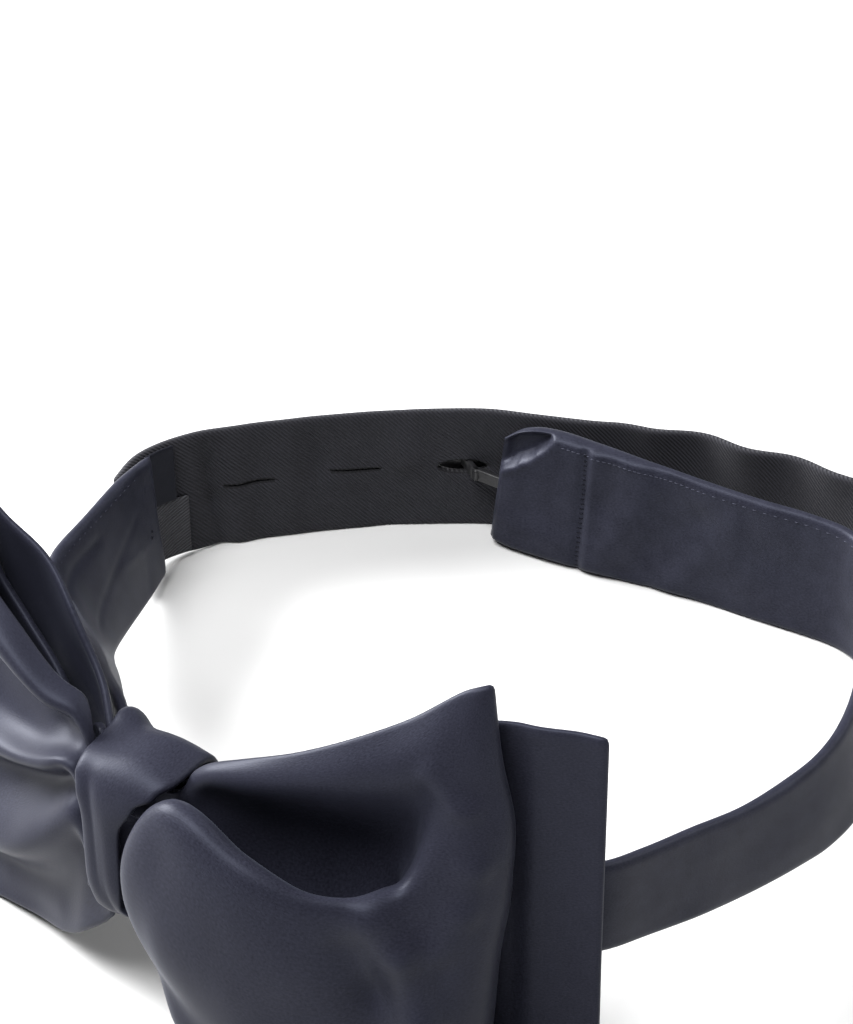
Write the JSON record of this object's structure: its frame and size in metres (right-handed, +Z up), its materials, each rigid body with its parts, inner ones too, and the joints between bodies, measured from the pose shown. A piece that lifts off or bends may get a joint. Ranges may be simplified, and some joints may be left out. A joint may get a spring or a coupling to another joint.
{
  "type": "pet bow tie",
  "caption": "Satin bow pinched by a wrap on an adjustable neck strap that hooks into a slotted tape; stands open on its edges.",
  "frame": {"origin": "middle of the tie's box, at the surface that its lower edges stand on", "axes": "+Z up, the bow faces -Y and the neck loop opens behind it towards +Y, +X to the right seen from the bow's front"},
  "size_m": [0.117, 0.1378, 0.0572],
  "materials": {
    "satin": "charcoal satin with a soft cool sheen",
    "twill_tape": "matt dark grey twill tape",
    "hook_metal": "black coated flat metal"
  },
  "bodies": {
    "root": {"bow_loops": "satin", "rear_ribbon": "satin", "knot_wrap": "satin", "neck_strap": "satin", "size_tape": "twill_tape", "neck_hook": "hook_metal"}
  },
  "joints": []
}
